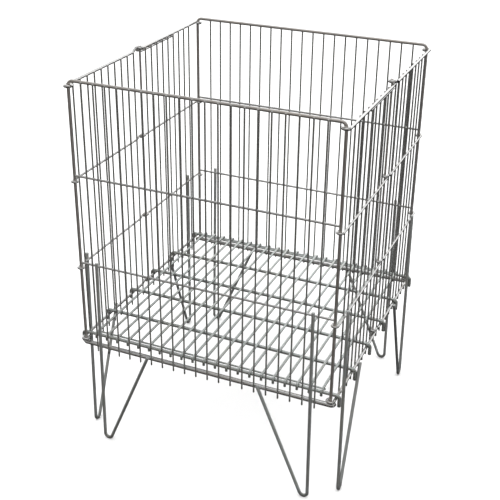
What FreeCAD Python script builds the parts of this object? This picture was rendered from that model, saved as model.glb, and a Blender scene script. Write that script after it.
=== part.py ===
import FreeCAD, Part
import math
import os

# Folding wire dump bin: a square basket of plated steel wire on eight hairpin legs, with a loose
# wire floor that hooks over the bottom rails of the two side walls.
# Millimetres, +Z up, front wall towards -Y. The origin is the middle of the underside of the feet.

V = FreeCAD.Vector

# ---- driving dimensions -------------------------------------------------------------------------
POST_SPACING = 570.0        # between the corner posts, both ways
HALF = POST_SPACING / 2.0

# wire diameters
D_POST = 6.5                # corner posts and rim
D_HINGE = 4.5               # centre hinge posts of the side walls
D_SIDE = 6.2                # top and bottom rails of the side walls
D_MID = 4.8                 # middle rails of every wall, and the stiffener bars
D_BASE = 10.0               # bottom rails of the front and back walls
D_UPRIGHT = 3.5             # thin uprights
D_LEG = 7.0
D_FLOOR = 7.5               # floor cross bars
D_FLOOR_LONG = 5.5          # floor long wires
D_FLOOR_EDGE = 4.0          # floor edge wires

# levels of the rails' centrelines
Z_SIDE = {"bottom": 256.0, "lower_middle": 431.5, "upper_middle": 630.5, "top": 833.0}
Z_BASE = 244.5
Z_LOWER, Z_UPPER, Z_RIM = 444.0, 643.5, 843.5

RIM_BEND = 10.0             # bend radius of the rim's corners, on the centreline
BASE_BEND = 6.0             # bend radius of the bottom rails' turned-in ends

# uprights: the same pitch on all four walls
PITCH = 26.6
FRONT_PER_SIDE = 10         # each side of the wall's middle, half a pitch off it
EYED_HALF_UPRIGHTS = 10     # in the half panel whose rails end in eyes, whole pitches off the middle
WELDED_HALF_UPRIGHTS = 9    # in the half panel whose rails are welded to the hinge post
FRONT_TIP, FRONT_TOP = 232.0, 845.0
SIDE_TIP, SIDE_TOP = 230.0, 834.5

# hinge eyes, bent round the posts
EYE_PLAY = 0.6              # play between the eye's wire and the post
EYE_SWEEP_THICK = 262.0
EYE_SWEEP_MID = 275.0
HINGE_POST_LOW, HINGE_POST_HIGH = 245.0, 843.5
JOG_START, JOG_END = 20.0, 8.0      # distance from the centre post, where the rail climbs over
JOG_GAP = 0.3               # between the eye and the rail end that it sits on

# legs: distances along the wall from its middle
LEG_FOOT_BEND = 9.0
LEG_FOOT = 238.0            # centre of the foot's bend
LEG_TOP_OUT = 242.0         # top of the outer wire
LEG_TOP_FRONT, LEG_TOP_SIDE = 454.0, 444.0
LEG_IN_FRONT, LEG_IN_SIDE = 127.5, 132.0
LEG_SLANT_FRONT, LEG_SLANT_SIDE = 250.0, 259.0

# stiffener bars under the top side rails, in the half panels that are welded to the hinge posts
STIFFENER_FROM, STIFFENER_TO = 8.0, 160.0       # from the hinge post's axis

# floor
FLOOR_GAP = 0.3             # between a cross bar and the rail that it hooks over
FLOOR_BAR_PITCH = 4 * PITCH     # the four inner cross bars pass midway between uprights
FLOOR_BAR_FIRST = -169.9
FLOOR_BAR_END = 272.3           # the outermost ones pass between the last upright and the corner post
FLOOR_BARS = ((-FLOOR_BAR_END,) + tuple(FLOOR_BAR_FIRST + i * FLOOR_BAR_PITCH for i in range(4))
              + (FLOOR_BAR_END,))
HOOK_LOW = 238.0
FLOOR_LONG_COUNT = 21
FLOOR_LONG_PITCH = 26.25
FLOOR_TIP = 257.5
FLOOR_EDGE_Y = 263.0

# ---- layers, worked out from the diameters ------------------------------------------------------
Y_FACE = HALF + D_POST / 2.0                       # outer tangent plane of the front wall's rails
Y_MID = Y_FACE - D_MID / 2.0
Y_BASE = Y_FACE - D_BASE / 2.0
Y_UPRIGHT = Y_FACE + D_UPRIGHT / 2.0
Y_LEG = Y_FACE + D_LEG / 2.0

R_EYE_THICK = D_POST / 2.0 + D_SIDE / 2.0 + EYE_PLAY
R_EYE_MID = D_POST / 2.0 + D_MID / 2.0 + EYE_PLAY
X_SIDE = HALF + R_EYE_THICK
X_MID = HALF + R_EYE_MID
X_INSIDE = X_SIDE - D_SIDE / 2.0                   # inner tangent plane of the side walls' rails
X_UPRIGHT = X_INSIDE - D_UPRIGHT / 2.0
X_HINGE = X_SIDE - D_HINGE / 2.0 - D_SIDE / 2.0 - EYE_PLAY
X_LEG = X_SIDE + D_SIDE / 2.0 + D_LEG / 2.0        # at the level of the bottom rail
X_LEG_HIGH = X_MID + D_MID / 2.0 + D_LEG / 2.0     # at the level of the lower middle rail
LEAN = math.degrees(math.atan2(X_LEG - X_LEG_HIGH, Z_SIDE["lower_middle"] - Z_SIDE["bottom"]))
Z_STIFFENER = Z_SIDE["top"] - D_SIDE / 2.0 - D_MID / 2.0

Z_FLOOR = Z_SIDE["bottom"] + D_SIDE / 2.0 + FLOOR_GAP + D_FLOOR / 2.0
R_HOOK = Z_FLOOR - Z_SIDE["bottom"]
Z_FLOOR_LONG = Z_FLOOR + D_FLOOR / 2.0 + D_FLOOR_LONG / 2.0
R_WRAP = Z_FLOOR_LONG - Z_FLOOR
Z_FLOOR_EDGE = Z_FLOOR_LONG - D_FLOOR_LONG / 2.0 - D_FLOOR_EDGE / 2.0


# ---- bent wire ----------------------------------------------------------------------------------
class Wire:
    """A round wire of constant section: straight runs and tangent arcs, one solid."""

    def __init__(self, d, start):
        self.r = d / 2.0
        self.p = V(*start)
        self.parts = []
        self.length = 0.0

    def line(self, x, y, z):
        q = V(x, y, z)
        run = q.sub(self.p)
        if run.Length > 1e-6:
            self.parts.append(Part.makeCylinder(self.r, run.Length, self.p, run))
            self.length += run.Length
        self.p = q
        return self

    def arc(self, centre, axis, deg):
        """Turns the current point about an axis; the wire's disc is swept with it."""
        c, a = V(*centre), V(*axis)
        a.normalize()
        arm = self.p.sub(c)
        arm = arm.sub(V(a).multiply(arm.dot(a)))
        if deg < 0:
            a = a.multiply(-1.0)
            deg = -deg
        tangent = a.cross(arm)
        disc = Part.Face(Part.Wire(Part.Circle(self.p, tangent, self.r).toShape()))
        self.parts.append(disc.revolve(c, a, deg))
        self.p = FreeCAD.Rotation(a, deg).multVec(self.p.sub(c)).add(c)
        self.length += arm.Length * math.radians(deg)
        return self

    def corner(self, at, to, radius):
        """Runs towards `at`, turns there with a tangent arc, and heads for `to`."""
        b, q = V(*at), V(*to)
        u, w = b.sub(self.p), q.sub(b)
        u.normalize()
        w.normalize()
        turn = math.acos(max(-1.0, min(1.0, u.dot(w))))
        t = radius * math.tan(turn / 2.0)
        self.line(*b.sub(V(u).multiply(t)))
        axis = u.cross(w)
        axis.normalize()
        c = self.p.add(axis.cross(u).multiply(radius))
        return self.arc(tuple(c), tuple(axis), math.degrees(turn))

    def solid(self):
        s = self.parts[0]
        if len(self.parts) > 1:
            s = s.multiFuse(self.parts[1:])
        solids = s.Solids
        volume = math.pi * self.r ** 2 * self.length
        if len(solids) != 1 or not solids[0].isValid() or abs(solids[0].Volume / volume - 1) > 1e-4:
            raise RuntimeError("bad wire: %d solids, volume %.4f" % (len(solids), s.Volume / volume))
        return solids[0]


def straight(d, a, b):
    return Wire(d, a).line(*b).solid()


# ---- front and back walls -----------------------------------------------------------------------
def end_wall(name, sy):
    """sy is -1 for the front wall and +1 for the back wall."""
    nodes = {}
    y = sy * HALF
    foot = Z_BASE + D_BASE / 2.0
    # both corner posts and the rim are one bent wire
    w = Wire(D_POST, (-HALF, y, foot))
    w.corner((-HALF, y, Z_RIM), (HALF, y, Z_RIM), RIM_BEND)
    w.corner((HALF, y, Z_RIM), (HALF, y, foot), RIM_BEND)
    w.line(HALF, y, foot)
    nodes[name + "_frame_wire"] = [w.solid()]

    ym, end = sy * Y_MID, HALF - D_POST / 2.0
    nodes[name + "_upper_middle_rail"] = [straight(D_MID, (-end, ym, Z_UPPER), (end, ym, Z_UPPER))]
    nodes[name + "_lower_middle_rail"] = [straight(D_MID, (-end, ym, Z_LOWER), (end, ym, Z_LOWER))]

    # the bottom rail carries the posts, and its ends are turned in
    yb, xe = sy * Y_BASE, 290.0
    tip = sy * (Y_BASE - BASE_BEND - 0.5)
    w = Wire(D_BASE, (-xe, tip, Z_BASE))
    w.corner((-xe, yb, Z_BASE), (xe, yb, Z_BASE), BASE_BEND)
    w.corner((xe, yb, Z_BASE), (xe, tip, Z_BASE), BASE_BEND)
    w.line(xe, tip, Z_BASE)
    nodes[name + "_bottom_rail"] = [w.solid()]

    yu = sy * Y_UPRIGHT
    nodes[name + "_uprights"] = [
        straight(D_UPRIGHT, (s * (k + 0.5) * PITCH, yu, FRONT_TIP), (s * (k + 0.5) * PITCH, yu, FRONT_TOP))
        for s in (-1, 1) for k in range(FRONT_PER_SIDE)]
    return nodes


# ---- side walls ---------------------------------------------------------------------------------
# Each is two half panels. The rails of one half end in eyes that turn on the centre hinge post, and
# the rails of the other half are welded to that post. Turned half round, one wall is the other.
def side_rail(sx, sy, z, d, x, r, sweep):
    """One rail of a half panel. sx: -1 left, +1 right. sy: -1 front half, +1 back half."""
    k = sx * sy
    post = (sx * HALF, sy * HALF, z)
    a = math.radians(k * sweep)
    w = Wire(d, (post[0] + sx * r * math.cos(a), post[1] + sx * r * math.sin(a), z))
    w.arc(post, (0, 0, 1), -k * sweep)              # the eye round the corner post
    if sy == sx:
        # climbs over the end of the other half's rail and ends in an eye round the centre post
        up = z + d + JOG_GAP
        w.corner((sx * x, sy * JOG_START, z), (sx * x, sy * JOG_END, up), 10.0)
        w.corner((sx * x, sy * JOG_END, up), (sx * x, 0, up), 10.0)
        w.line(sx * x, 0, up)
        w.arc((sx * X_HINGE, 0, up), (0, 0, 1), -k * sweep)
    else:
        # is set in against the centre post, and welded there
        xt = X_HINGE + D_HINGE / 2.0 + d / 2.0
        w.corner((sx * x, sy * JOG_START, z), (sx * xt, sy * JOG_END, z), 15.0)
        w.corner((sx * xt, sy * JOG_END, z), (sx * xt, -sy * 3.0, z), 15.0)
        w.line(sx * xt, -sy * 3.0, z)
    return w.solid()


def side_wall(name, sx):
    nodes = {}
    for half, sy in (("front", -1), ("back", 1)):
        head = "%s_%s_half" % (name, half)
        for level in ("top", "upper_middle", "lower_middle", "bottom"):
            if level in ("top", "bottom"):
                args = (D_SIDE, X_SIDE, R_EYE_THICK, EYE_SWEEP_THICK)
            else:
                args = (D_MID, X_MID, R_EYE_MID, EYE_SWEEP_MID)
            nodes["%s_%s_rail" % (head, level)] = [side_rail(sx, sy, Z_SIDE[level], *args)]
        count = EYED_HALF_UPRIGHTS if sy == sx else WELDED_HALF_UPRIGHTS
        nodes[head + "_uprights"] = [
            straight(D_UPRIGHT, (sx * X_UPRIGHT, sy * k * PITCH, SIDE_TIP),
                     (sx * X_UPRIGHT, sy * k * PITCH, SIDE_TOP))
            for k in range(1, count + 1)]
    nodes[name + "_hinge_post"] = [
        straight(D_HINGE, (sx * X_HINGE, 0, HINGE_POST_LOW), (sx * X_HINGE, 0, HINGE_POST_HIGH))]
    nodes[name + "_stiffener_bar"] = [
        straight(D_MID, (sx * X_MID, -sx * STIFFENER_FROM, Z_STIFFENER),
                 (sx * X_MID, -sx * STIFFENER_TO, Z_STIFFENER))]
    return nodes


# ---- legs ---------------------------------------------------------------------------------------
def leg(place, side, top, inner, slant_top):
    """A hairpin: down the outer wire, round the foot, up the slanted wire to the bottom rail.
    place(s, z) gives the point at s along the wall; side is +1 or -1 along it."""
    cs, cz = LEG_FOOT, LEG_FOOT_BEND + D_LEG / 2.0

    def bend_leaves(s, z, way):
        # the bend's point where a tangent from (s, z) meets it, as an angle round the bend's centre
        return math.atan2(z - cz, s - cs) + way * math.acos(LEG_FOOT_BEND / math.hypot(s - cs, z - cz))

    outer = bend_leaves(LEG_TOP_OUT, top, -1)
    slant = bend_leaves(inner, slant_top, 1)
    sweep = 360.0 - math.degrees(slant - outer)
    p1 = place(side * (cs + LEG_FOOT_BEND * math.cos(outer)), cz + LEG_FOOT_BEND * math.sin(outer))
    along = V(*place(side, 0)).sub(V(*place(0, 0)))
    axis = V(0, 0, 1).cross(along)
    w = Wire(D_LEG, place(side * LEG_TOP_OUT, top)).line(*p1)
    w.arc(place(side * cs, cz), tuple(axis), sweep)
    w.line(*place(side * inner, slant_top))
    return w.solid()


def legs():
    nodes = {}
    for name, sy in (("front", -1), ("back", 1)):
        for hand, s in (("left", -1), ("right", 1)):
            nodes["%s_wall_%s_leg" % (name, hand)] = [leg(
                lambda a, z, sy=sy: (a, sy * Y_LEG, z), s, LEG_TOP_FRONT, LEG_IN_FRONT, LEG_SLANT_FRONT)]
    for name, sx in (("left", -1), ("right", 1)):
        for end, s in (("front", -1), ("back", 1)):
            solid = leg(lambda a, z, sx=sx: (sx * X_LEG, a, z), s, LEG_TOP_SIDE, LEG_IN_SIDE, LEG_SLANT_SIDE)
            # leans in, so that it lies against the thinner middle rail as well as the bottom rail
            solid.rotate(V(sx * X_LEG, 0, Z_SIDE["bottom"]), V(0, 1, 0), -sx * LEAN)
            nodes["%s_wall_%s_leg" % (name, end)] = [solid]
    return nodes


# ---- floor --------------------------------------------------------------------------------------
def floor():
    nodes = {}
    rail_z, xo = Z_SIDE["bottom"], X_SIDE + R_HOOK
    for i, y in enumerate(FLOOR_BARS):
        w = Wire(D_FLOOR, (-xo, y, HOOK_LOW)).line(-xo, y, rail_z)
        w.arc((-X_SIDE, y, rail_z), (0, 1, 0), 90.0)
        w.line(X_SIDE, y, Z_FLOOR)
        w.arc((X_SIDE, y, rail_z), (0, 1, 0), 90.0)
        w.line(xo, y, HOOK_LOW)
        nodes["floor_cross_bar_%d" % (i + 1)] = [w.solid()]

    long_wires = []
    yo = FLOOR_BARS[-1]
    for i in range(FLOOR_LONG_COUNT):
        x = (i - (FLOOR_LONG_COUNT - 1) / 2.0) * FLOOR_LONG_PITCH
        w = Wire(D_FLOOR_LONG, (x, -yo - R_WRAP, FLOOR_TIP)).line(x, -yo - R_WRAP, Z_FLOOR)
        w.arc((x, -yo, Z_FLOOR), (1, 0, 0), -90.0)
        w.line(x, yo, Z_FLOOR_LONG)
        w.arc((x, yo, Z_FLOOR), (1, 0, 0), -90.0)
        w.line(x, yo + R_WRAP, FLOOR_TIP)
        long_wires.append(w.solid())
    nodes["floor_long_wires"] = long_wires

    xe = (FLOOR_LONG_COUNT - 1) / 2.0 * FLOOR_LONG_PITCH + 4.0
    for name, sy in (("front", -1), ("back", 1)):
        nodes["floor_%s_edge_wire" % name] = [straight(
            D_FLOOR_EDGE, (-xe, sy * FLOOR_EDGE_Y, Z_FLOOR_EDGE), (xe, sy * FLOOR_EDGE_Y, Z_FLOOR_EDGE))]
    return nodes


def build():
    nodes = {}
    nodes.update(end_wall("front", -1))
    nodes.update(end_wall("back", 1))
    nodes.update(side_wall("left", -1))
    nodes.update(side_wall("right", 1))
    nodes.update(legs())
    nodes.update(floor())
    return nodes


NODES = build()
os.makedirs("parts", exist_ok=True)
for node, solids in NODES.items():
    shape = solids[0] if len(solids) == 1 else Part.makeCompound(solids)
    shape.exportStep("parts/%s.step" % node)

box = Part.makeCompound([s for solids in NODES.values() for s in solids]).optimalBoundingBox(False)
print("%d nodes, %d solids" % (len(NODES), sum(len(s) for s in NODES.values())))
print("box x %.2f %.2f  y %.2f %.2f  z %.2f %.2f" % (box.XMin, box.XMax, box.YMin, box.YMax, box.ZMin, box.ZMax))
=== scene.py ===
import math
import random

import bpy
import numpy as np
from mathutils import Matrix, Vector


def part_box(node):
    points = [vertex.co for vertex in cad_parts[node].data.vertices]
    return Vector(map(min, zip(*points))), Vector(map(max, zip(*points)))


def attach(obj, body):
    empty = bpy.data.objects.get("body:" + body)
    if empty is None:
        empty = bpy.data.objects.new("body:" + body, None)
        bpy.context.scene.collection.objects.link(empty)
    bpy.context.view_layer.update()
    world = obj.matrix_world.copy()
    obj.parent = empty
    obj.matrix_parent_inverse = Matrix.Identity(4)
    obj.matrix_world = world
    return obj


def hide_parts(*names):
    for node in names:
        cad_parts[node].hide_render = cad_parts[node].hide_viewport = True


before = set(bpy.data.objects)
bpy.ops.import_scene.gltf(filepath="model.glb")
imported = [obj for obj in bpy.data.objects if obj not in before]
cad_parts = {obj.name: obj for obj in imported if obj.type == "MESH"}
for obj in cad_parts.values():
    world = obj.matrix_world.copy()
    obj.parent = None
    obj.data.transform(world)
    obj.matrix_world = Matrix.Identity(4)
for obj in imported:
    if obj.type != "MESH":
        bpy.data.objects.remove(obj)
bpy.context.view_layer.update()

random.seed(8)
rng = np.random.default_rng(8)
MM = 0.001

# ---- the bin's dimensions, in millimetres -------------------------------------------------------
HALF = 285.0
D_POST, D_HINGE, D_SIDE, D_MID, D_BASE = 6.5, 4.5, 6.2, 4.8, 10.0
D_UPRIGHT, D_LEG, D_FLOOR, D_FLOOR_LONG, D_FLOOR_EDGE = 3.5, 7.0, 7.5, 5.5, 4.0
Z_SIDE = {"bottom": 256.0, "lower_middle": 431.5, "upper_middle": 630.5, "top": 833.0}
Z_BASE, Z_LOWER, Z_UPPER, Z_RIM = 244.5, 444.0, 643.5, 843.5
RIM_BEND, BASE_BEND = 10.0, 6.0
PITCH = 26.6
FRONT_TIP, FRONT_TOP, SIDE_TIP, SIDE_TOP = 232.0, 845.0, 230.0, 834.5
EYE_PLAY, EYE_SWEEP_THICK, EYE_SWEEP_MID = 0.6, 262.0, 275.0
JOG_START, JOG_END, JOG_GAP = 20.0, 8.0, 0.3
LEG_FOOT_BEND, LEG_FOOT, LEG_TOP_OUT = 9.0, 238.0, 242.0
LEG_TOP_FRONT, LEG_TOP_SIDE = 454.0, 444.0
LEG_IN_FRONT, LEG_IN_SIDE = 127.5, 132.0
LEG_SLANT_FRONT, LEG_SLANT_SIDE = 250.0, 259.0
FLOOR_BARS = (-272.3, -169.9, -63.5, 42.9, 149.3, 272.3)
HOOK_LOW, FLOOR_LONG_COUNT, FLOOR_LONG_PITCH, FLOOR_TIP, FLOOR_EDGE_Y = 238.0, 21, 26.25, 257.5, 263.0

Y_FACE = HALF + D_POST / 2
Y_MID, Y_BASE = Y_FACE - D_MID / 2, Y_FACE - D_BASE / 2
Y_UPRIGHT, Y_LEG = Y_FACE + D_UPRIGHT / 2, Y_FACE + D_LEG / 2
R_EYE_THICK = D_POST / 2 + D_SIDE / 2 + EYE_PLAY
R_EYE_MID = D_POST / 2 + D_MID / 2 + EYE_PLAY
X_SIDE, X_MID = HALF + R_EYE_THICK, HALF + R_EYE_MID
X_INSIDE = X_SIDE - D_SIDE / 2
X_UPRIGHT = X_INSIDE - D_UPRIGHT / 2
X_HINGE = X_SIDE - D_HINGE / 2 - D_SIDE / 2 - EYE_PLAY
X_LEG = X_SIDE + D_SIDE / 2 + D_LEG / 2
X_LEG_HIGH = X_MID + D_MID / 2 + D_LEG / 2
LEAN = math.atan2(X_LEG - X_LEG_HIGH, Z_SIDE["lower_middle"] - Z_SIDE["bottom"])
Z_STIFFENER = Z_SIDE["top"] - D_SIDE / 2 - D_MID / 2
Z_FLOOR = Z_SIDE["bottom"] + D_SIDE / 2 + 0.3 + D_FLOOR / 2
R_HOOK = Z_FLOOR - Z_SIDE["bottom"]
Z_FLOOR_LONG = Z_FLOOR + D_FLOOR / 2 + D_FLOOR_LONG / 2
R_WRAP = Z_FLOOR_LONG - Z_FLOOR
Z_FLOOR_EDGE = Z_FLOOR_LONG - D_FLOOR_LONG / 2 - D_FLOOR_EDGE / 2


# ---- the centreline of a bent wire --------------------------------------------------------------
class Line:
    """Straight runs and tangent arcs, kept as points with their direction of travel."""

    def __init__(self, d, start, step=14.0):
        self.d, self.p, self.step = d, np.array(start, float), step
        self.pts, self.dirs = [], []

    def _add(self, p, t):
        if self.pts and np.linalg.norm(self.pts[-1] - p) < 1e-4:
            return
        self.pts.append(np.array(p, float))
        self.dirs.append(np.array(t, float) / np.linalg.norm(t))

    def line(self, *q):
        q = np.array(q, float)
        run = q - self.p
        n = np.linalg.norm(run)
        if n > 1e-6:
            k = max(1, int(math.ceil(n / self.step)))
            for i in range(k + 1):
                self._add(self.p + run * i / k, run)
        self.p = q
        return self

    def arc(self, centre, axis, deg, piece=9.0):
        c, a = np.array(centre, float), Vector(axis).normalized()
        k = max(2, int(math.ceil(abs(deg) / piece)))
        p0 = self.p.copy()
        for i in range(k + 1):
            m = Matrix.Rotation(math.radians(deg * i / k), 3, a)
            arm = np.array(m @ Vector(p0 - c))
            t = np.cross(np.array(a), arm) * (1 if deg > 0 else -1)
            self._add(c + arm, t)
        self.p = c + arm
        return self

    def corner(self, at, to, radius):
        b, q = np.array(at, float), np.array(to, float)
        u, w = b - self.p, q - b
        u, w = u / np.linalg.norm(u), w / np.linalg.norm(w)
        turn = math.acos(max(-1.0, min(1.0, float(u @ w))))
        self.line(*(b - u * radius * math.tan(turn / 2)))
        axis = np.cross(u, w)
        axis /= np.linalg.norm(axis)
        return self.arc(self.p + np.cross(axis, u) * radius, axis, math.degrees(turn))

    def turned(self, pivot, axis, angle):
        m = np.array(Matrix.Rotation(angle, 3, Vector(axis)))
        o = np.array(pivot, float)
        self.pts = [m @ (p - o) + o for p in self.pts]
        self.dirs = [m @ t for t in self.dirs]
        return self


def straight(d, a, b, step=14.0):
    return Line(d, a, step).line(*b)


# ---- welds: where two wires touch ---------------------------------------------------------------
WELDS = {}                                   # group -> [(point, normal, along, radii)]
WELD_POINTS = []                             # every weld's place, for the dulling and the painted highlight round it


def weld(group, p, normal, along, wide, thin, deep):
    WELDS.setdefault(group, []).append((np.array(p, float), np.array(normal, float), np.array(along, float),
                                        (wide, thin, deep)))
    WELD_POINTS.append(np.array(p, float))


# ---- mesh of a wire -----------------------------------------------------------------------------
def tube(line, sides, bow=0.0, seed=0):
    """Vertices, faces, and for each vertex its place along and round the wire in metres."""
    pts, dirs = np.array(line.pts), np.array(line.dirs)
    n = len(pts)
    step = np.r_[0.0, np.linalg.norm(np.diff(pts, axis=0), axis=1)]
    along = np.cumsum(step)
    # one direction carried along the wire, so that the faces don't twist
    t0 = dirs[0]
    ref = np.array((0.0, 0.0, 1.0)) if abs(t0[2]) < 0.9 else np.array((1.0, 0.0, 0.0))
    u = np.cross(t0, ref)
    u /= np.linalg.norm(u)
    us = [u]
    for i in range(1, n):
        v = us[-1] - dirs[i] * float(us[-1] @ dirs[i])
        us.append(v / np.linalg.norm(v))
    us = np.array(us)
    ws = np.cross(dirs, us)
    if bow:
        # a drawn wire is never quite straight: a slow sideways wave, nothing at its ends
        r = np.random.default_rng(seed)
        a, b, ph = r.uniform(-1, 1), r.uniform(-1, 1), r.uniform(0, 6.283)
        s = along / along[-1]
        env = np.sin(np.pi * s)
        pts = pts + (us * (a * env * np.sin(6.283 * s * 1.5 + ph))[:, None]
                     + ws * (b * env * np.sin(6.283 * s * 1.1 + ph * 2))[:, None]) * bow
    r = line.d / 2
    # sheared and tumbled ends: a small round edge round a nearly flat face
    scale, offset = np.ones(n), np.zeros(n)
    P, T, U, W, A, S = list(pts), list(dirs), list(us), list(ws), list(along), list(scale)
    edge = ((0.16 * r, 1.0), (0.10 * r, 0.985), (0.045 * r, 0.93), (0.012 * r, 0.84), (0.0, 0.66), (-0.01 * r, 0.3))
    head = [(P[0] + T[0] * e, s) for e, s in edge]
    tail = [(P[-1] - T[-1] * e, s) for e, s in edge]
    rings = [(p, U[0], W[0], s, 0.0) for p, s in reversed(head)]
    rings += [(P[i], U[i], W[i], 1.0, A[i]) for i in range(1, n - 1)]
    rings += [(p, U[-1], W[-1], s, A[-1]) for p, s in tail]
    ang = np.linspace(0, 2 * np.pi, sides, endpoint=False)
    c, s_ = np.cos(ang), np.sin(ang)
    verts = np.concatenate([p + r * k * (np.outer(c, u) + np.outer(s_, w)) for p, u, w, k, _ in rings])
    m = len(rings)
    faces = []
    for i in range(m - 1):
        for j in range(sides):
            j2 = (j + 1) % sides
            faces.append((i * sides + j, i * sides + j2, (i + 1) * sides + j2, (i + 1) * sides + j))
    faces.append(tuple(reversed(range(sides))))
    faces.append(tuple(range((m - 1) * sides, m * sides)))
    lengths = np.array([a for *_, a in rings])
    return verts, faces, lengths, m, 2 * math.pi * r


def wire_object(name, node, lines, body, material, bow=0.0):
    """One object of one or more wires, standing for the CAD node."""
    verts, faces, uvs = [], [], []
    base = 0
    for k, line in enumerate(lines):
        sides = 24 if line.d > 6 else 20 if line.d > 4 else 16
        v, f, lengths, m, around = tube(line, sides, bow, seed=sum(map(ord, node)) * 97 + k)
        shift = rng.uniform(0, 3)            # so that no two wires carry the same marks
        verts.append(v)
        for face in f:
            faces.append(tuple(i + base for i in face))
            if len(face) == 4:
                row = []
                for q, i in enumerate(face):
                    ring, j = divmod(i, sides)
                    if j == 0 and q in (1, 2) and face[0] % sides == sides - 1:
                        j = sides
                    row.append((shift + around * MM * j / sides, lengths[ring] * MM + shift * 0.7))
                uvs.extend(row)
            else:
                uvs.extend([(shift, lengths[face[0] // sides] * MM + shift * 0.7)] * len(face))
        base += len(v)
    verts = np.concatenate(verts) * MM
    me = bpy.data.meshes.new(name)
    me.from_pydata(verts.tolist(), [], faces)
    me.polygons.foreach_set("use_smooth", [True] * len(faces))
    layer = me.uv_layers.new(name="wire")
    layer.data.foreach_set("uv", np.array(uvs, np.float32).ravel())
    # how near each vertex is to a weld
    near = np.zeros(len(verts), np.float32)
    if WELD_POINTS:
        W = np.array(WELD_POINTS) * MM
        for s in range(0, len(verts), 4000):
            block = verts[s:s + 4000]
            d = np.sqrt(((block[:, None, :] - W[None, :, :]) ** 2).sum(-1)).min(1)
            near[s:s + 4000] = np.exp(-(d / 0.0055) ** 2)
    me.attributes.new("near_weld", "FLOAT", "POINT").data.foreach_set("value", near)
    me.materials.append(material)
    me.validate()
    me.update()
    ob = bpy.data.objects.new(name, me)
    bpy.context.scene.collection.objects.link(ob)
    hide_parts(node)
    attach(ob, body)
    lo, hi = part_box(node)
    got_lo, got_hi = verts.min(0), verts.max(0)
    off = max(np.abs(got_lo - np.array(lo)).max(), np.abs(got_hi - np.array(hi)).max())
    if off > 0.0012:
        raise RuntimeError("%s is %.2f mm off its place" % (node, off * 1000))
    return ob


def weld_object(name, group, body, material):
    verts, faces, base = [], [], 0
    rows, cols = 7, 12
    for p, n, a, (wide, thin, deep) in WELDS[group]:
        n = n / np.linalg.norm(n)
        a = a - n * float(a @ n)
        a = a / np.linalg.norm(a)
        b = np.cross(n, a)
        ph = rng.uniform(0, 6.283, 3)
        size = rng.uniform(0.88, 1.1)
        ring = []
        for i in range(1, rows):
            th = math.pi * i / rows
            for j in range(cols):
                f = 2 * math.pi * j / cols
                lump = 1 + 0.07 * math.sin(2 * f + ph[0]) + 0.05 * math.sin(3 * f + ph[1]) + 0.04 * math.sin(2 * th + ph[2])
                ring.append(p + size * lump * (a * wide * math.sin(th) * math.cos(f) + b * thin * math.sin(th) * math.sin(f))
                            + n * deep * math.cos(th))
        verts += [p + n * deep] + ring + [p - n * deep]
        last = base + 1 + (rows - 1) * cols
        for j in range(cols):
            j2 = (j + 1) % cols
            faces.append((base, base + 1 + j, base + 1 + j2))
            for i in range(rows - 2):
                q = base + 1 + i * cols
                faces.append((q + j, q + cols + j, q + cols + j2, q + j2))
            q = base + 1 + (rows - 2) * cols
            faces.append((q + j, last, q + j2))
        base = last + 1
    me = bpy.data.meshes.new(name)
    me.from_pydata((np.array(verts) * MM).tolist(), [], faces)
    me.polygons.foreach_set("use_smooth", [True] * len(faces))
    me.materials.append(material)
    me.validate()
    me.update()
    ob = bpy.data.objects.new(name, me)
    bpy.context.scene.collection.objects.link(ob)
    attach(ob, body)
    return ob


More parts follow.
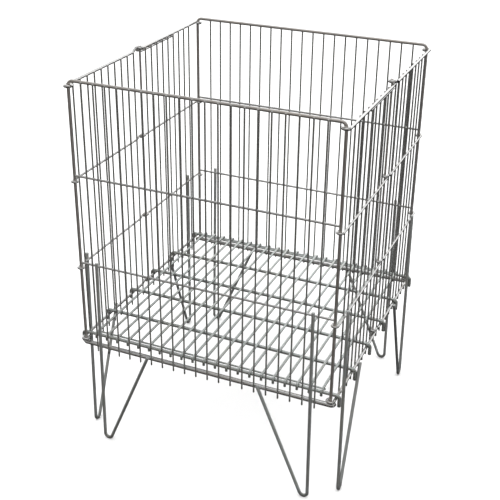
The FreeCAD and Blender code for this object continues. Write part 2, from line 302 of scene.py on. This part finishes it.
# ---- materials ----------------------------------------------------------------------------------
def plated(name, tone, rough, streak=0.10, weld_highlight_tone=(0.80, 0.79, 0.77), scuff=False, grime=0.0):
    """Bright zinc over drawn wire: lengthwise drawing lines, cloudy plating, rougher rings round the welds that are
    painted lighter as a painted highlight.
    """
    m = bpy.data.materials.new(name)
    m.use_nodes = True
    nt = m.node_tree
    N, L = nt.nodes, nt.links
    bsdf = N["Principled BSDF"]
    bsdf.inputs["Metallic"].default_value = 1.0
    uv = N.new("ShaderNodeUVMap")
    uv.uv_map = "wire"
    obj = N.new("ShaderNodeTexCoord")

    def mapping(scale, src):
        mp = N.new("ShaderNodeMapping")
        mp.inputs["Scale"].default_value = scale
        L.new(src, mp.inputs["Vector"])
        return mp.outputs["Vector"]

    def noise(src, scale, detail, rough_=0.55):
        n = N.new("ShaderNodeTexNoise")
        n.inputs["Scale"].default_value = scale
        n.inputs["Detail"].default_value = detail
        n.inputs["Roughness"].default_value = rough_
        L.new(src, n.inputs["Vector"])
        return n.outputs["Fac"]

    def ramp(src, stops):
        r = N.new("ShaderNodeValToRGB")
        e = r.color_ramp.elements
        while len(e) < len(stops):
            e.new(0.5)
        for i, (pos, col) in enumerate(stops):
            e[i].position = pos
            e[i].color = (*col, 1.0) if len(col) == 3 else col
        L.new(src, r.inputs["Fac"])
        return r.outputs["Color"]

    def math_(op, a, b=None, c=None, clamp=False):
        n = N.new("ShaderNodeMath")
        n.operation = op
        n.use_clamp = clamp
        for i, x in enumerate((a, b, c)):
            if x is None:
                continue
            if hasattr(x, "default_value") or hasattr(x, "is_linked"):
                L.new(x, n.inputs[i])
            else:
                n.inputs[i].default_value = x
        return n.outputs[0]

    def mix(fac, a, b):
        n = N.new("ShaderNodeMix")
        n.data_type = "RGBA"
        if hasattr(fac, "is_linked"):
            L.new(fac, n.inputs[0])
        else:
            n.inputs[0].default_value = fac
        for sock, x in ((n.inputs[6], a), (n.inputs[7], b)):
            if hasattr(x, "is_linked"):
                L.new(x, sock)
            else:
                sock.default_value = (*x, 1.0)
        return n.outputs[2]

    lines = noise(mapping((2600.0, 34.0, 1.0), uv.outputs["UV"]), 1.0, 4.0)      # drawing lines
    cloud = noise(mapping((1.0, 1.0, 1.0), obj.outputs["Object"]), 46.0, 5.0)    # plating clouds
    fleck = noise(mapping((1.0, 1.0, 1.0), obj.outputs["Object"]), 620.0, 3.0)   # grain of the zinc
    near = N.new("ShaderNodeAttribute")
    near.attribute_name = "near_weld"
    # near the welds: the plating is rougher, and its lighter tone there is a painted highlight
    weld_dull_and_highlight = math_("MULTIPLY", near.outputs["Fac"], math_("ADD", 0.35, cloud), clamp=True)

    dark = tuple(c * 0.80 for c in tone)
    lite = tuple(min(1.0, c * 1.10) for c in tone)
    warm = (tone[0] * 0.97, tone[1] * 0.92, tone[2] * 0.86)
    col = mix(cloud, dark, lite)
    col = mix(math_("MULTIPLY", ramp(noise(mapping((1.0, 1.0, 1.0), obj.outputs["Object"]), 11.0, 2.0),
                                     ((0.48, (0, 0, 0)), (0.66, (1, 1, 1)))), 0.55), col, warm)
    col = mix(ramp(lines, ((0.30, (0.55, 0.55, 0.55)), (0.46, (0, 0, 0)))), col, tuple(c * 0.62 for c in tone))
    # painted highlight: the plating round each weld is painted in a lighter tone
    col = mix(weld_dull_and_highlight, col, weld_highlight_tone)
    if scuff:
        # the undersides of the feet and the bends above them are rubbed and dirty
        sep = N.new("ShaderNodeSeparateXYZ")
        L.new(obj.outputs["Object"], sep.inputs[0])
        low = N.new("ShaderNodeMapRange")
        low.inputs["From Min"].default_value = 0.020
        low.inputs["From Max"].default_value = 0.001
        L.new(sep.outputs["Z"], low.inputs["Value"])
        dirt = math_("MULTIPLY", low.outputs["Result"], math_("ADD", 0.25, noise(mapping((1, 1, 1), obj.outputs["Object"]), 260.0, 4.0)), clamp=True)
        col = mix(dirt, col, (0.17, 0.155, 0.14))
    if grime:
        col = mix(math_("MULTIPLY", fleck, grime), col, (0.30, 0.29, 0.27))
    L.new(col, bsdf.inputs["Base Color"])

    r = math_("ADD", rough, math_("MULTIPLY", math_("SUBTRACT", lines, 0.5), streak))
    r = math_("ADD", r, math_("MULTIPLY", math_("SUBTRACT", cloud, 0.45), 0.10))
    r = math_("ADD", r, math_("MULTIPLY", weld_dull_and_highlight, 0.10), clamp=True)
    if scuff:
        r = math_("ADD", r, math_("MULTIPLY", dirt, 0.35), clamp=True)
    L.new(r, bsdf.inputs["Roughness"])

    h = math_("ADD", math_("MULTIPLY", lines, 0.6), math_("MULTIPLY", fleck, 0.4))
    bump = N.new("ShaderNodeBump")
    bump.inputs["Strength"].default_value = 0.16
    bump.inputs["Distance"].default_value = 0.00012
    L.new(h, bump.inputs["Height"])
    L.new(bump.outputs["Normal"], bsdf.inputs["Normal"])
    return m


ZINC = (0.70, 0.69, 0.67)
# painted reflection: every part is the same zinc, but the posts are painted warmer and lighter, the uprights
# darker, and the legs and floor wires greenish and lighter, standing for the room they mirror
MAT = {
    "post_wire": plated("plated_post", (0.76, 0.725, 0.69), 0.32, weld_highlight_tone=(0.84, 0.82, 0.80)),
    "rail_wire": plated("plated_rail", (0.78, 0.78, 0.775), 0.07, weld_highlight_tone=(0.90, 0.90, 0.90)),
    "upright_wire": plated("plated_upright", (0.64, 0.64, 0.635), 0.10),
    "leg_wire": plated("plated_leg", (0.88, 0.93, 0.915), 0.50, scuff=True),
    "floor_wire": plated("plated_floor", (0.70, 0.745, 0.73), 0.12, grime=0.26, weld_highlight_tone=(0.88, 0.90, 0.89)),
}


def weld_material():
    m = bpy.data.materials.new("weld_spot")
    m.use_nodes = True
    nt = m.node_tree
    N, L = nt.nodes, nt.links
    bsdf = N["Principled BSDF"]
    bsdf.inputs["Metallic"].default_value = 1.0
    tc = N.new("ShaderNodeTexCoord")
    n = N.new("ShaderNodeTexNoise")
    n.inputs["Scale"].default_value = 420.0
    n.inputs["Detail"].default_value = 5.0
    L.new(tc.outputs["Object"], n.inputs["Vector"])
    r = N.new("ShaderNodeValToRGB")
    r.color_ramp.elements[0].position = 0.34
    r.color_ramp.elements[0].color = (0.55, 0.55, 0.54, 1)
    r.color_ramp.elements[1].position = 0.62
    r.color_ramp.elements[1].color = (0.93, 0.93, 0.92, 1)
    L.new(n.outputs["Fac"], r.inputs["Fac"])
    L.new(r.outputs["Color"], bsdf.inputs["Base Color"])
    q = N.new("ShaderNodeMapRange")
    q.inputs["To Min"].default_value = 0.14
    q.inputs["To Max"].default_value = 0.34
    L.new(n.outputs["Fac"], q.inputs["Value"])
    L.new(q.outputs["Result"], bsdf.inputs["Roughness"])
    b = N.new("ShaderNodeBump")
    b.inputs["Strength"].default_value = 0.5
    b.inputs["Distance"].default_value = 0.0003
    L.new(n.outputs["Fac"], b.inputs["Height"])
    L.new(b.outputs["Normal"], bsdf.inputs["Normal"])
    return m


WELD_MAT = weld_material()

# ---- centrelines --------------------------------------------------------------------------------
NODES = {}          # node -> (lines, slot, body)


def end_wall(name, sy):
    y, foot = sy * HALF, Z_BASE + D_BASE / 2
    g = name + "_wall"
    w = Line(D_POST, (-HALF, y, foot))
    w.corner((-HALF, y, Z_RIM), (HALF, y, Z_RIM), RIM_BEND)
    w.corner((HALF, y, Z_RIM), (HALF, y, foot), RIM_BEND)
    w.line(HALF, y, foot)
    NODES[name + "_frame_wire"] = ([w], "post_wire", "walls")
    ym, end = sy * Y_MID, HALF - D_POST / 2
    for level, z in (("upper", Z_UPPER), ("lower", Z_LOWER)):
        NODES["%s_%s_middle_rail" % (name, level)] = ([straight(D_MID, (-end, ym, z), (end, ym, z))], "rail_wire", "walls")
        for s in (-1, 1):
            weld(g, (s * (end + 0.1), ym, z), (s, 0, 0), (0, 1, 0), 2.75, 2.75, 1.2)
    yb, xe = sy * Y_BASE, 290.0
    tip = sy * (Y_BASE - BASE_BEND - 0.5)
    w = Line(D_BASE, (-xe, tip, Z_BASE))
    w.corner((-xe, yb, Z_BASE), (xe, yb, Z_BASE), BASE_BEND)
    w.corner((xe, yb, Z_BASE), (xe, tip, Z_BASE), BASE_BEND)
    w.line(xe, tip, Z_BASE)
    NODES[name + "_bottom_rail"] = ([w], "rail_wire", "walls")
    for s in (-1, 1):
        weld(g, (s * HALF, sy * (HALF - 0.5), foot), (0, 0, 1), (1, 0, 0), 4.1, 3.8, 1.3)
    yu = sy * Y_UPRIGHT
    ups = []
    for s in (-1, 1):
        for k in range(10):
            x = s * (k + 0.5) * PITCH
            ups.append(straight(D_UPRIGHT, (x, yu, FRONT_TIP), (x, yu, FRONT_TOP), 12.0))
            for z, wide in ((Z_RIM, 2.0), (Z_UPPER, 1.8), (Z_LOWER, 1.8), (Z_BASE, 2.2)):
                weld(g, (x, sy * Y_FACE, z), (0, sy, 0), (0, 0, 1), wide, 1.75, 0.75)
    NODES[name + "_uprights"] = (ups, "upright_wire", "walls")


def side_rail(sx, sy, z, d, x, r, sweep):
    k = sx * sy
    post = (sx * HALF, sy * HALF, z)
    a = math.radians(k * sweep)
    w = Line(d, (post[0] + sx * r * math.cos(a), post[1] + sx * r * math.sin(a), z))
    w.arc(post, (0, 0, 1), -k * sweep)
    if sy == sx:
        up = z + d + JOG_GAP
        w.corner((sx * x, sy * JOG_START, z), (sx * x, sy * JOG_END, up), 10.0)
        w.corner((sx * x, sy * JOG_END, up), (sx * x, 0, up), 10.0)
        w.line(sx * x, 0, up)
        w.arc((sx * X_HINGE, 0, up), (0, 0, 1), -k * sweep)
    else:
        xt = X_HINGE + D_HINGE / 2 + d / 2
        w.corner((sx * x, sy * JOG_START, z), (sx * xt, sy * JOG_END, z), 15.0)
        w.corner((sx * xt, sy * JOG_END, z), (sx * xt, -sy * 3.0, z), 15.0)
        w.line(sx * xt, -sy * 3.0, z)
    return w


def side_wall(name, sx):
    g = name + "_wall"
    for half, sy in (("front", -1), ("back", 1)):
        head = "%s_%s_half" % (name, half)
        for level in ("top", "upper_middle", "lower_middle", "bottom"):
            if level in ("top", "bottom"):
                args = (D_SIDE, X_SIDE, R_EYE_THICK, EYE_SWEEP_THICK)
            else:
                args = (D_MID, X_MID, R_EYE_MID, EYE_SWEEP_MID)
            NODES["%s_%s_rail" % (head, level)] = ([side_rail(sx, sy, Z_SIDE[level], *args)], "rail_wire", "walls")
        ups = []
        for k in range(1, (10 if sy == sx else 9) + 1):
            y = sy * k * PITCH
            ups.append(straight(D_UPRIGHT, (sx * X_UPRIGHT, y, SIDE_TIP), (sx * X_UPRIGHT, y, SIDE_TOP), 12.0))
            for z in Z_SIDE.values():
                weld(g, (sx * X_INSIDE, y, z), (sx, 0, 0), (0, 0, 1), 1.9, 1.75, 0.75)
            if sy != sx and k <= 6:
                weld(g, (sx * X_INSIDE, y, Z_STIFFENER), (sx, 0, 0), (0, 0, 1), 1.7, 1.7, 0.6)
        NODES[head + "_uprights"] = (ups, "upright_wire", "walls")
    NODES[name + "_hinge_post"] = ([straight(D_HINGE, (sx * X_HINGE, 0, 245.0), (sx * X_HINGE, 0, 843.5))],
                                   "post_wire", "walls")
    for z in Z_SIDE.values():
        weld(g, (sx * (X_HINGE + D_HINGE / 2), -sx * 0.6, z), (sx, 0, 0), (0, 0, 1), 2.4, 2.6, 0.9)
    NODES[name + "_stiffener_bar"] = ([straight(D_MID, (sx * X_MID, -sx * 8.0, Z_STIFFENER),
                                               (sx * X_MID, -sx * 160.0, Z_STIFFENER))], "rail_wire", "walls")
    for y in (12.0, 66.0, 120.0, 157.0):
        weld(g, (sx * (X_MID + 0.3), -sx * y, Z_SIDE["top"] - D_SIDE / 2), (0, 0, 1), (0, 1, 0), 5.5, 1.9, 0.8)


def leg(place, side, top, inner, slant_top, step=14.0):
    cs, cz = LEG_FOOT, LEG_FOOT_BEND + D_LEG / 2

    def leaves(s, z, way):
        return math.atan2(z - cz, s - cs) + way * math.acos(LEG_FOOT_BEND / math.hypot(s - cs, z - cz))

    outer, slant = leaves(LEG_TOP_OUT, top, -1), leaves(inner, slant_top, 1)
    sweep = 360.0 - math.degrees(slant - outer)
    p1 = place(side * (cs + LEG_FOOT_BEND * math.cos(outer)), cz + LEG_FOOT_BEND * math.sin(outer))
    axis = np.cross((0, 0, 1), np.array(place(side, 0)) - np.array(place(0, 0)))
    w = Line(D_LEG, place(side * LEG_TOP_OUT, top), step).line(*p1)
    w.arc(place(side * cs, cz), axis, sweep)
    w.line(*place(side * inner, slant_top))
    # where each wire of the hairpin is at a level
    low = (cs + LEG_FOOT_BEND * math.cos(outer), cz + LEG_FOOT_BEND * math.sin(outer))
    low2 = (cs + LEG_FOOT_BEND * math.cos(slant), cz + LEG_FOOT_BEND * math.sin(slant))

    def outer_at(z):
        return low[0] + (LEG_TOP_OUT - low[0]) * (z - low[1]) / (top - low[1])

    def slant_at(z):
        return low2[0] + (inner - low2[0]) * (z - low2[1]) / (slant_top - low2[1])

    return w, outer_at, slant_at


def legs():
    for name, sy in (("front", -1), ("back", 1)):
        for hand, s in (("left", -1), ("right", 1)):
            w, oa, sa = leg(lambda a, z, sy=sy: (a, sy * Y_LEG, z), s, LEG_TOP_FRONT, LEG_IN_FRONT, LEG_SLANT_FRONT)
            NODES["%s_wall_%s_leg" % (name, hand)] = ([w], "leg_wire", "walls")
            g = name + "_wall"
            for x, z, d in ((oa(Z_BASE), Z_BASE, 3.0), (sa(Z_BASE), Z_BASE, 3.0), (oa(Z_LOWER), Z_LOWER, 2.4)):
                weld(g, (s * x, sy * Y_FACE, z), (0, sy, 0), (0, 0, 1), d, 3.0, 1.1)
    for name, sx in (("left", -1), ("right", 1)):
        for end, s in (("front", -1), ("back", 1)):
            w, oa, sa = leg(lambda a, z, sx=sx: (sx * X_LEG, a, z), s, LEG_TOP_SIDE, LEG_IN_SIDE, LEG_SLANT_SIDE)
            w.turned((sx * X_LEG, 0, Z_SIDE["bottom"]), (0, 1, 0), -sx * LEAN)
            NODES["%s_wall_%s_leg" % (name, end)] = ([w], "leg_wire", "walls")
            g, zb, zm = name + "_wall", Z_SIDE["bottom"], Z_SIDE["lower_middle"]
            weld(g, (sx * (X_SIDE + D_SIDE / 2), s * oa(zb), zb), (sx, 0, 0), (0, 0, 1), 2.8, 3.0, 1.1)
            weld(g, (sx * (X_SIDE + D_SIDE / 2), s * sa(zb), zb), (sx, 0, 0), (0, 0, 1), 2.8, 3.0, 1.1)
            weld(g, (sx * (X_MID + D_MID / 2), s * oa(zm), zm), (sx, 0, 0), (0, 0, 1), 2.3, 3.0, 1.0)


def floor_mat():
    rail_z, xo = Z_SIDE["bottom"], X_SIDE + R_HOOK
    for i, y in enumerate(FLOOR_BARS):
        w = Line(D_FLOOR, (-xo, y, HOOK_LOW)).line(-xo, y, rail_z)
        w.arc((-X_SIDE, y, rail_z), (0, 1, 0), 90.0)
        w.line(X_SIDE, y, Z_FLOOR)
        w.arc((X_SIDE, y, rail_z), (0, 1, 0), 90.0)
        w.line(xo, y, HOOK_LOW)
        NODES["floor_cross_bar_%d" % (i + 1)] = ([w], "floor_wire", "floor")
    longs, yo = [], FLOOR_BARS[-1]
    touch = Z_FLOOR_LONG - D_FLOOR_LONG / 2
    for i in range(FLOOR_LONG_COUNT):
        x = (i - (FLOOR_LONG_COUNT - 1) / 2) * FLOOR_LONG_PITCH
        w = Line(D_FLOOR_LONG, (x, -yo - R_WRAP, FLOOR_TIP), 12.0).line(x, -yo - R_WRAP, Z_FLOOR)
        w.arc((x, -yo, Z_FLOOR), (1, 0, 0), -90.0)
        w.line(x, yo, Z_FLOOR_LONG)
        w.arc((x, yo, Z_FLOOR), (1, 0, 0), -90.0)
        w.line(x, yo + R_WRAP, FLOOR_TIP)
        longs.append(w)
        for y in FLOOR_BARS:
            weld("floor", (x, y, touch), (0, 0, 1), (0, 1, 0), 2.6, 2.7, 0.9)
        for y in (-FLOOR_EDGE_Y, FLOOR_EDGE_Y):
            weld("floor", (x, y, touch), (0, 0, 1), (0, 1, 0), 2.0, 2.6, 0.8)
    NODES["floor_long_wires"] = (longs, "floor_wire", "floor")
    xe = (FLOOR_LONG_COUNT - 1) / 2 * FLOOR_LONG_PITCH + 4.0
    for name, sy in (("front", -1), ("back", 1)):
        NODES["floor_%s_edge_wire" % name] = ([straight(
            D_FLOOR_EDGE, (-xe, sy * FLOOR_EDGE_Y, Z_FLOOR_EDGE), (xe, sy * FLOOR_EDGE_Y, Z_FLOOR_EDGE))], "floor_wire", "floor")


end_wall("front", -1)
end_wall("back", 1)
side_wall("left", -1)
side_wall("right", 1)
legs()
floor_mat()

missing = sorted(set(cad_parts) ^ set(NODES))
if missing:
    raise RuntimeError("nodes and wires differ: %s" % missing)
for node, (lines, slot, body) in NODES.items():
    bow = 0.12 if slot == "upright_wire" else 0.0
    wire_object(node + "_wire", node, lines, body, MAT[slot], bow)
for group in WELDS:
    weld_object(group + "_welds", group, "floor" if group == "floor" else "walls",
                WELD_MAT)


# ---- stage --------------------------------------------------------------------------------------
def floor_plane():
    me = bpy.data.meshes.new("studio_floor")
    n, size = 48, 14.0
    v = [((i / n - 0.5) * 2 * size, (j / n - 0.5) * 2 * size, 0.0) for j in range(n + 1) for i in range(n + 1)]
    f = [(j * (n + 1) + i, j * (n + 1) + i + 1, (j + 1) * (n + 1) + i + 1, (j + 1) * (n + 1) + i)
         for j in range(n) for i in range(n)]
    me.from_pydata(v, [], f)
    m = bpy.data.materials.new("studio_floor")
    m.use_nodes = True
    b = m.node_tree.nodes["Principled BSDF"]
    b.inputs["Base Color"].default_value = (0.90, 0.90, 0.90, 1)
    b.inputs["Roughness"].default_value = 1.0
    b.inputs["Specular IOR Level"].default_value = 0.0
    me.materials.append(m)
    ob = bpy.data.objects.new("studio_floor", me)
    bpy.context.scene.collection.objects.link(ob)
    ob.visible_glossy = False


floor_plane()


def studio_world():
    """What the wires mirror: a grey ceiling, a bright wall on one side, and a dim floor with one bright strip."""
    w = bpy.data.worlds.new("studio")
    bpy.context.scene.world = w
    w.use_nodes = True
    nt = w.node_tree
    N, L = nt.nodes, nt.links
    N.clear()
    out = N.new("ShaderNodeOutputWorld")
    tc = N.new("ShaderNodeTexCoord")
    sep = N.new("ShaderNodeSeparateXYZ")
    L.new(tc.outputs["Generated"], sep.inputs[0])

    def put(x, sock):
        if hasattr(x, "is_linked"):
            L.new(x, sock)
        else:
            sock.default_value = x

    def m(op, a, b=None):
        n = N.new("ShaderNodeMath")
        n.operation = op
        put(a, n.inputs[0])
        if b is not None:
            put(b, n.inputs[1])
        return n.outputs[0]

    def smooth(x, lo, hi):
        n = N.new("ShaderNodeMapRange")
        n.interpolation_type = "SMOOTHSTEP"
        n.clamp = True
        n.inputs["From Min"].default_value = lo
        n.inputs["From Max"].default_value = hi
        L.new(x, n.inputs["Value"])
        return n.outputs["Result"]

    def mix(f, a, b):
        n = N.new("ShaderNodeMix")
        n.data_type = "RGBA"
        L.new(f, n.inputs[0])
        for sock, x in ((n.inputs[6], a), (n.inputs[7], b)):
            put((*x, 1.0) if isinstance(x, tuple) else x, sock)
        return n.outputs[2]

    z = sep.outputs["Z"]
    az = m("ARCTAN2", sep.outputs["Y"], sep.outputs["X"])
    # the dim band below the horizon, by compass direction in degrees from +X
    band = N.new("ShaderNodeValToRGB")
    band.color_ramp.interpolation = "EASE"
    e = band.color_ramp.elements
    while len(e) < len(BAND):
        e.new(0.5)
    for i, (deg, c) in enumerate(BAND):
        e[i].position = deg / 360.0 + 0.5
        e[i].color = (*c, 1)
    L.new(m("ADD", m("MULTIPLY", az, 1 / (2 * math.pi)), 0.5), band.inputs["Fac"])
    behind = smooth(m("COSINE", m("SUBTRACT", az, math.radians(BRIGHT_WALL))), -0.1, 0.85)
    side = mix(behind, NEAR_WALL, FAR_WALL)
    sky = mix(smooth(z, 0.90, 0.97), mix(smooth(z, 0.46, 0.66), side, CEILING), LAMP)
    ground = mix(smooth(z, -0.80, -0.60), UNDER, band.outputs["Color"])
    both = mix(smooth(z, -0.05, 0.06), ground, sky)
    room = N.new("ShaderNodeBackground")
    L.new(both, room.inputs["Color"])
    room.inputs["Strength"].default_value = ROOM_STRENGTH
    pale = N.new("ShaderNodeBackground")
    pale.inputs["Color"].default_value = (0.96, 0.96, 0.96, 1)
    pale.inputs["Strength"].default_value = 1.0
    lp = N.new("ShaderNodeLightPath")
    sh = N.new("ShaderNodeMixShader")
    L.new(lp.outputs["Is Camera Ray"], sh.inputs[0])
    L.new(room.outputs[0], sh.inputs[1])
    L.new(pale.outputs[0], sh.inputs[2])
    L.new(sh.outputs[0], out.inputs["Surface"])


BAND = ((-180, (0.075, 0.073, 0.070)), (-130, (0.110, 0.106, 0.101)), (-90, (0.095, 0.091, 0.086)), (-58, (0.070, 0.067, 0.064)),
        (-38, (0.045, 0.043, 0.042)), (-30, (0.26, 0.26, 0.255)), (-22, (0.70, 0.70, 0.69)), (-14, (0.20, 0.20, 0.20)), (-4, (0.022, 0.022, 0.023)),
        (60, (0.014, 0.015, 0.016)), (113, (0.012, 0.013, 0.014)), (150, (0.03, 0.03, 0.029)), (180, (0.075, 0.073, 0.070)))
BRIGHT_WALL = 113.0
NEAR_WALL, FAR_WALL = (0.26, 0.252, 0.243), (1.0, 1.0, 1.0)
CEILING, LAMP, UNDER = (0.33, 0.332, 0.335), (1.0, 1.0, 1.0), (0.016, 0.017, 0.018)
ROOM_STRENGTH = 1.3
studio_world()


def area(name, at, to, size, power, color=(1, 1, 1)):
    li = bpy.data.lights.new(name, "AREA")
    li.shape = "RECTANGLE"
    li.size, li.size_y = size
    li.energy = power
    li.color = color
    ob = bpy.data.objects.new(name, li)
    bpy.context.scene.collection.objects.link(ob)
    ob.location = at
    ob.rotation_mode = "QUATERNION"
    ob.rotation_quaternion = (Vector(to) - Vector(at)).to_track_quat("-Z", "Y")
    ob.visible_glossy = False                # they light the floor; the wires mirror the room
    return ob


area("overhead_softbox", (0, 0, 10.0), (0, 0, 0), (30.0, 30.0), 3500.0)
area("key_softbox", (-1.6, -2.2, 3.4), (0, 0, 0.4), (2.6, 2.0), 12.0)
area("fill_softbox", (2.8, -0.6, 2.6), (0, 0, 0.4), (1.8, 1.8), 6.0, (1.0, 0.99, 0.97))

# ---- camera -------------------------------------------------------------------------------------
F_PX, C_UNIT = 953.0, (1.8124, -2.6451, 1.9961)
AZ, EL, ROLL = math.radians(23.11), math.radians(25.56), math.radians(0.76)
PP = (250.0, 225.0)
fwd = Vector((-math.sin(AZ) * math.cos(EL), math.cos(AZ) * math.cos(EL), -math.sin(EL)))
right = Vector((math.cos(AZ), math.sin(AZ), 0.0))
up = right.cross(fwd)
r2 = right * math.cos(ROLL) + up * math.sin(ROLL)
u2 = up * math.cos(ROLL) - right * math.sin(ROLL)
cam_data = bpy.data.cameras.new("camera")
cam = bpy.data.objects.new("camera", cam_data)
bpy.context.scene.collection.objects.link(cam)
cam_data.sensor_width = 36.0
cam_data.lens = F_PX / 500.0 * 36.0
cam_data.shift_x = (250.0 - PP[0]) / 500.0
cam_data.shift_y = -(250.0 - PP[1]) / 500.0
cam_data.clip_start, cam_data.clip_end = 0.05, 100.0
place = Matrix((r2, u2, -fwd)).transposed().to_4x4()
place.translation = Vector(((C_UNIT[0] - 0.5) * 0.57, (C_UNIT[1] - 0.5) * 0.57, C_UNIT[2] * 0.57 + 0.256))
cam.matrix_world = place
bpy.context.scene.camera = cam

bpy.context.scene.view_settings.view_transform = "Standard"
bpy.context.scene.view_settings.look = "None"
bpy.context.scene.view_settings.exposure = 0.0

bpy.context.view_layer.update()
